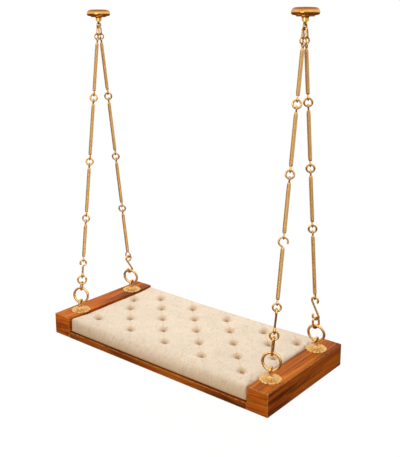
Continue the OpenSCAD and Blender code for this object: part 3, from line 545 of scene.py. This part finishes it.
def forged_brass(name, shift=(0, 0, 0), grain=1.0, dull=0.0, beaten=0.5, groove=None):
    """Forged and hand-rubbed brass: bright where it is touched, brown in its hollows. beaten is how
    deep its hammer marks are, and groove an attribute that is 1 at the bottom of its grooves."""
    material, add = new_material(name)
    place = add("TexCoord")
    laid = add("Mapping", {"Vector": place.outputs["Object"], "Location": shift})
    blows = add("TexVoronoi", {"Vector": laid.outputs[0], "Scale": 130.0 * grain, "Smoothness": 0.8},
                feature="SMOOTH_F1")
    skin = add("TexNoise", {"Vector": laid.outputs[0], "Scale": 260.0 * grain, "Detail": 4.0,
                            "Roughness": 0.6})
    cloudy = add("TexNoise", {"Vector": laid.outputs[0], "Scale": 34.0, "Detail": 4.0})
    hollow = add("AmbientOcclusion", {"Distance": 0.02}, samples=6)
    deep = add("MapRange", {"Value": hollow.outputs["AO"], "From Min": 0.35, "From Max": 0.85,
                            "To Min": 1.0, "To Max": 0.0})
    pits = add("MapRange", {"Value": blows.outputs["Distance"], "From Min": 0.25, "From Max": 0.62,
                            "To Min": 0.0, "To Max": 0.45 + dull})
    clouds = add("MapRange", {"Value": cloudy.outputs["Fac"], "From Min": 0.42, "From Max": 0.70,
                              "To Min": 0.0, "To Max": 0.4 + dull})
    some = add("Math", {0: pits.outputs[0], 1: clouds.outputs[0]}, operation="MAXIMUM")
    if groove:
        mark = add("Attribute", attribute_name=groove)
        dark = add("MapRange", {"Value": mark.outputs["Fac"], "From Min": 0.12, "From Max": 0.55,
                                "To Min": 0.0, "To Max": 0.72})
        some = add("Math", {0: some.outputs[0], 1: dark.outputs[0]}, operation="MAXIMUM")
    age = add("Math", {0: deep.outputs[0], 1: some.outputs[0]}, operation="MAXIMUM")
    colour = add("Mix", {"Factor": age.outputs[0], "A": (0.95, 0.645, 0.265, 1),
                         "B": (0.35, 0.14, 0.026, 1)}, data_type="RGBA")
    rough = add("MapRange", {"Value": age.outputs[0], "To Min": 0.24, "To Max": 0.52})
    height = add("Math", {0: skin.outputs["Fac"], 1: 0.5}, operation="MULTIPLY")
    surface = add("Math", {0: blows.outputs["Distance"], 1: height.outputs[0]}, operation="ADD")
    relief = add("Bump", {"Height": surface.outputs[0], "Strength": beaten, "Distance": 0.0012})
    shader = add("BsdfPrincipled", {"Base Color": colour.outputs["Result"], "Metallic": 1.0,
                                    "Roughness": rough.outputs[0], "Normal": relief.outputs[0]})
    add("OutputMaterial", {"Surface": shader.outputs[0]})
    return material


def turned_brass(name):
    """Brass turned on a lathe and polished, browned where two turned steps meet."""
    material, add = new_material(name)
    place = add("TexCoord")
    smears = add("TexNoise", {"Vector": place.outputs["Object"], "Scale": 26.0, "Detail": 4.0})
    rings = add("Mapping", {"Vector": place.outputs["Object"], "Scale": (6.0, 6.0, 900.0)})
    cuts = add("TexNoise", {"Vector": rings.outputs[0], "Scale": 1.0, "Detail": 2.0})
    hollow = add("AmbientOcclusion", {"Distance": 0.03}, samples=6)
    deep = add("MapRange", {"Value": hollow.outputs["AO"], "From Min": 0.40, "From Max": 0.80,
                            "To Min": 1.0, "To Max": 0.0})
    clouds = add("MapRange", {"Value": smears.outputs["Fac"], "From Min": 0.45, "From Max": 0.75,
                              "To Min": 0.0, "To Max": 0.5})
    age = add("Math", {0: deep.outputs[0], 1: clouds.outputs[0]}, operation="MAXIMUM")
    colour = add("Mix", {"Factor": age.outputs[0], "A": (0.84, 0.46, 0.14, 1),
                         "B": (0.28, 0.09, 0.012, 1)}, data_type="RGBA")
    rough = add("MapRange", {"Value": smears.outputs["Fac"], "To Min": 0.10, "To Max": 0.26})
    relief = add("Bump", {"Height": cuts.outputs["Fac"], "Strength": 0.10, "Distance": 0.0004})
    shader = add("BsdfPrincipled", {"Base Color": colour.outputs["Result"], "Metallic": 1.0,
                                    "Roughness": rough.outputs[0], "Normal": relief.outputs[0]})
    add("OutputMaterial", {"Surface": shader.outputs[0]})
    return material


def zinc(name):
    """Zinc-plated steel with a faint spangle."""
    material, add = new_material(name)
    place = add("TexCoord")
    spangle = add("TexVoronoi", {"Vector": place.outputs["Object"], "Scale": 180.0})
    tone = add("MapRange", {"Value": spangle.outputs["Distance"], "To Min": 0.36, "To Max": 0.52})
    warm = add("CombineColor", {0: tone.outputs[0], 1: tone.outputs[0], 2: tone.outputs[0]})
    rough = add("MapRange", {"Value": spangle.outputs["Distance"], "To Min": 0.32, "To Max": 0.5})
    shader = add("BsdfPrincipled", {"Base Color": warm.outputs[0], "Metallic": 1.0,
                                    "Roughness": rough.outputs[0]})
    add("OutputMaterial", {"Surface": shader.outputs[0]})
    return material


dress(["eye_bolts"], forged_brass("eye_bolt_brass"))
dress(["nuts", "washers"], zinc("zinc_plating"))

# ---- Rosettes ----
# Cast flowers that cover the bolts' holes: a dished ring of petals, each with a notched tip,
# two domed lobes and a vein, that flares up into a fluted neck under the eye.

HANG_X = 0.808           # of the strands and bolts, from the middle of the bed
BOLT_Y = 0.256
ROSETTE_R = 0.068
NECK_R = 0.011
NECK_H = 0.0269
FLARE_R = 0.021
BORE_R = 0.0078
RIM_T = 0.0034
RIM_ROUND = 0.0006
RIM_LIFT = 0.0008
PETALS = 8
PETAL_ANGLE = 0.785      # in radians
LOBE_R = 0.0125
LOBE_TURN = 0.21         # from a petal's middle to a lobe's, in petals
LOBE_HEIGHT = 0.0030
LOBE_PERIOD = 0.60
DISH_RISE = 0.0060
NECK_RISE = 0.0054
SPLIT_DEPTH, SPLIT_WIDTH = 0.0034, 0.0021      # between two petals
VEIN_DEPTH, VEIN_WIDTH = 0.0018, 0.0014
RIB_HEIGHT, RIBS = 0.00035, 11
EDGE_DROP, EDGE_WIDTH = 0.0016, 0.0016
FLUTE_DEPTH = 0.0011
ROSETTE_TURNS = [22, 16, 20, 8]                # in degrees
ROUND_COUNT = 288        # columns of the net
# The last row of the net at the rim, on the petals, on the neck and in the bore
RIM_ROW, PETALS_ROW, NECK_ROW, BORE_ROW = 4, 26, 36, 40


def petal_reach(part):
    """How far the outline reaches at a share of a petal's width, -0.5 to 0.5."""
    turn = np.abs(np.abs(part) - LOBE_TURN) * 2 * math.pi / PETALS
    out = ROSETTE_R - LOBE_R
    return out * np.cos(turn) + np.sqrt(np.maximum(LOBE_R ** 2 - (out * np.sin(turn)) ** 2, 0))


def rosette(name):
    """One rosette, with its back on the XY plane."""
    bpy.ops.object.select_all(action="DESELECT")
    bpy.ops.mesh.primitive_grid_add(x_subdivisions=ROUND_COUNT, y_subdivisions=BORE_ROW, size=1)
    flower = bpy.context.object
    flower.name = name
    flat = places(flower)
    turn = (flat[:, 0] + 0.5) * 2 * math.pi
    step = np.rint((flat[:, 1] + 0.5) * BORE_ROW).astype(int)
    part = (turn * PETALS / (2 * math.pi)) % 1.0 - 0.5
    reach = petal_reach(part)
    # The rows go out under the back and up the rim, in over the petals, up the neck and down
    # the bore
    radius = np.zeros(len(flat))
    height = np.zeros(len(flat))
    first = step < RIM_ROW
    radius[first] = (BORE_R + (reach - RIM_ROUND - BORE_R) * step / (RIM_ROW - 1))[first]
    rim = step == RIM_ROW
    radius[rim] = reach[rim]
    height[rim] = RIM_LIFT
    over = (step > RIM_ROW) & (step <= PETALS_ROW)
    share = np.clip((step - RIM_ROW - 1) / (PETALS_ROW - RIM_ROW - 1), 0, 1)
    inner = NECK_R + FLARE_R * 0.62
    radius[over] = (reach + (inner - reach) * share ** 0.9)[over]
    wide = np.clip((radius - inner) / (reach - inner), 0, 1)
    dish = RIM_T - RIM_ROUND + DISH_RISE * (1 - (radius / ROSETTE_R) ** 2)
    from_lobe = np.cos(2 * math.pi * (np.abs(part) - LOBE_TURN) / LOBE_PERIOD)
    lobes = LOBE_HEIGHT * np.clip(from_lobe, 0, 1) ** 0.6
    lobes *= np.sin(math.pi * np.clip(wide * 0.92 + 0.05, 0, 1)) ** 0.7
    from_split = (np.abs(part) - 0.5) * radius * PETAL_ANGLE
    split = SPLIT_DEPTH * np.exp(-((from_split / SPLIT_WIDTH) ** 2))
    from_vein = part * radius * PETAL_ANGLE
    vein = VEIN_DEPTH * np.exp(-((from_vein / VEIN_WIDTH) ** 2)) * np.clip(wide * 3, 0, 1)
    ribs = RIB_HEIGHT * np.cos(part * 2 * math.pi * RIBS) * np.clip(wide * 2, 0, 1)
    edge = EDGE_DROP * np.exp(-(((reach - radius) / EDGE_WIDTH) ** 2))
    height[over] = (dish + lobes - split - vein + ribs - edge)[over]
    neck = (step > PETALS_ROW) & (step <= NECK_ROW)
    up = np.clip((step - PETALS_ROW) / (NECK_ROW - PETALS_ROW), 0, 1)
    rise = up ** 1.15
    flare = NECK_R + FLARE_R - FLARE_R * np.sin(np.arccos(np.clip(1 - rise * 0.99, -1, 1)))
    start_h = RIM_T + NECK_RISE * (1 - (inner / ROSETTE_R) ** 2)
    flutes = FLUTE_DEPTH * (0.5 - 0.5 * np.cos(2 * math.pi * part)) * np.sin(math.pi * up)
    radius[neck] = (flare - flutes)[neck]
    height[neck] = (start_h + (NECK_H - start_h) * rise)[neck]
    last = step > NECK_ROW
    radius[last] = BORE_R
    height[last] = (NECK_H * (1 - (step - NECK_ROW - 1) / (BORE_ROW - NECK_ROW - 1)))[last]
    flat[:, 0] = radius * np.cos(turn)
    flat[:, 1] = radius * np.sin(turn)
    flat[:, 2] = height
    move_to(flower, flat)
    bpy.ops.object.mode_set(mode="EDIT")
    bpy.ops.mesh.select_all(action="SELECT")
    bpy.ops.mesh.remove_doubles(threshold=0.000002)
    bpy.ops.mesh.normals_make_consistent(inside=False)
    bpy.ops.object.mode_set(mode="OBJECT")
    bpy.ops.object.shade_smooth()
    return flower


flower = rosette("rosette_front_left")
flowers = [flower]
for name in ["rosette_back_left", "rosette_front_right", "rosette_back_right"]:
    twin = flower.copy()
    twin.data = flower.data.copy()
    twin.name = name
    scene.collection.objects.link(twin)
    flowers.append(twin)
rosette_brass = forged_brass("rosette_brass", (0.3, 0.1, 0.0), 1.6, 0.15, 0.22)
for twin, side, row, turn in zip(flowers, [-1, -1, 1, 1], [-1, 1, -1, 1], ROSETTE_TURNS):
    twin.data.transform(Matrix.Translation((side * HANG_X, row * BOLT_Y, TIMBER_TOP))
                        @ Matrix.Rotation(math.radians(turn), 4, "Z"))
    twin.data.materials.append(rosette_brass)
    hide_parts("rosettes")
    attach(twin, "seat")

# ---- Rings, links and hooks ----
# Brass wire forged into rings, links and S-hooks. They join the rods to each other, to the top
# rings and to the eye bolts, and each strand ends in a set of its own.

STRANDS = ["front_left", "back_left", "front_right", "back_right"]
ring_brass = forged_brass("ring_brass", (0.7, 0.2, 0.5), 0.9)
link_names = ["split_ring_front_left", "short_link_front_left", "open_link_back_right",
              "round_link_front_right", "long_link_front_right"]
for kind in ["big_ring", "s_hook", "connecting_rings", "upper_oval_link", "upper_round_link"]:
    link_names += [f"{kind}_{strand}" for strand in STRANDS]
dress(link_names, ring_brass)

# ---- Rods ----
# Brass rods of twisted bar with a closed eye at each end. The bar is twisted hot between its
# two collars, so its strands stand proud like a rope's.

BAR_LAY = 0.054          # one full turn of the twist
BAR_STEP = 0.0016        # between two rows of the net
BAR_HOLLOW_R = 0.0091
BAR_SWELL_R = 0.0120
BAR_STRANDS = 6
BAR_SIDES = 5            # columns to a strand
COLLAR_INSET = 0.027     # from the middle of an eye to its collar
LARGE_COLLAR_INSET = 0.034    # at the large eye of the lowest rod, back left
HOOK_COLLAR_INSET = 0.0395    # at the hooked head of the lowest rod, front right
# A strand is laid along a straight line from its top to its foot
STRAND_TOP_OUT = 0.000317
STRAND_TOP_Y = 0.004539
STRAND_TOP_Z = -0.1031
STRAND_FOOT_Z = -2.0205
DRAWN_IN = 0.10          # share of its radius that the bar loses at a collar
DRAWN_L = 0.006
# For each rod: how far down the strand its upper eye is, and its length from eye to eye
LEFT_RODS = [(0.09702, 0.365), (0.51222, 0.390), (0.95242, 0.349)]
RIGHT_RODS = [(0.09702, 0.294), (0.44122, 0.337), (0.82843, 0.326)]
# For each strand: its side, its row and its rods
strand_rods = {
    "front_left": (-1, -1, LEFT_RODS + [(1.35162, 0.271797)]),
    "back_left": (-1, 1, LEFT_RODS + [(1.35162, 0.350797)]),
    "front_right": (1, -1, RIGHT_RODS + [(1.18302, 0.353797)]),
    "back_right": (1, 1, RIGHT_RODS + [(1.20462, 0.427797)]),
}
rod_brass = forged_brass("rod_brass", (0.1, 0.9, 0.3), 1.2)
bar_brass = forged_brass("bar_brass", (0.6, 0.3, 0.8), 1.2, -0.3, 0.3, "hollow")


def twisted_bar(name, length):
    """A bar of swelling strands, twisted, from the origin down."""
    columns = BAR_STRANDS * BAR_SIDES
    bpy.ops.object.select_all(action="DESELECT")
    bpy.ops.mesh.primitive_cylinder_add(vertices=columns, radius=BAR_HOLLOW_R, depth=length,
                                        end_fill_type="NGON", location=(0, 0, -length / 2))
    bar = bpy.context.object
    bar.name = name
    bpy.ops.object.transform_apply(location=True)
    bpy.ops.object.mode_set(mode="EDIT")
    bpy.ops.mesh.select_all(action="DESELECT")
    bpy.ops.object.mode_set(mode="OBJECT")
    for edge in bar.data.edges:
        a, b = [bar.data.vertices[k].co.z for k in edge.vertices]
        edge.select = abs(a - b) > length / 2
    bpy.ops.object.mode_set(mode="EDIT")
    bpy.ops.mesh.select_mode(type="EDGE")
    bpy.ops.mesh.subdivide(number_cuts=int(length / BAR_STEP))
    bpy.ops.object.mode_set(mode="OBJECT")
    rows = places(bar)
    turn = np.arctan2(rows[:, 1], rows[:, 0])
    swell = np.abs(np.sin(turn * BAR_STRANDS / 2)) ** 0.8
    radius = BAR_HOLLOW_R + (BAR_SWELL_R - BAR_HOLLOW_R) * swell
    rows[:, :2] *= (radius / BAR_HOLLOW_R)[:, None]
    # The bar is drawn in where it runs into its collars
    end = np.minimum(-rows[:, 2], rows[:, 2] + length)
    rows[:, :2] *= (1 - DRAWN_IN * np.exp(-((end / DRAWN_L) ** 2)))[:, None]
    turned = rows[:, 2] / BAR_LAY * 2 * math.pi
    x, y = rows[:, 0].copy(), rows[:, 1].copy()
    rows[:, 0] = x * np.cos(turned) - y * np.sin(turned)
    rows[:, 1] = x * np.sin(turned) + y * np.cos(turned)
    move_to(bar, rows)
    mark = bar.data.attributes.new("hollow", "FLOAT", "POINT")
    mark.data.foreach_set("value", 1 - swell)
    bpy.ops.object.shade_smooth()
    return bar


for strand, (side, row, rods) in strand_rods.items():
    top = Vector((side * (HANG_X + STRAND_TOP_OUT), row * STRAND_TOP_Y, STRAND_TOP_Z))
    foot = Vector((side * HANG_X, row * BOLT_Y, STRAND_FOOT_Z))
    way = (foot - top).normalized()
    for number, (down, length) in enumerate(rods, start=1):
        hooked = strand == "front_right" and number == 4
        large = strand == "back_left" and number == 4
        head = HOOK_COLLAR_INSET if hooked else COLLAR_INSET
        tail = LARGE_COLLAR_INSET if large else COLLAR_INSET
        bar = twisted_bar(f"twisted_bar_{number}_{strand}", length - head - tail)
        laid = (-way).to_track_quat("Z", "Y").to_matrix().to_4x4()
        bar.data.transform(Matrix.Translation(top + way * (down + head)) @ laid)
        bar.data.materials.append(bar_brass)
        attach(bar, "chains_left" if side < 0 else "chains_right")
    dress([f"rod_{number}_{strand}" for number in range(1, 5)], rod_brass)

# ---- Top rings, ceiling eyes and canopies ----
# Turned and polished canopies cover the holes in the ceiling. A forged eye on a stud runs up
# through each, and one top ring in it carries both strands of that end.

dress(["canopy_left", "canopy_right"], turned_brass("canopy_brass"))
top_brass = forged_brass("top_brass", (0.4, 0.4, 0.1))
for side in ["left", "right"]:
    dress([f"ceiling_eye_{side}", f"top_ring_{side}"], top_brass)
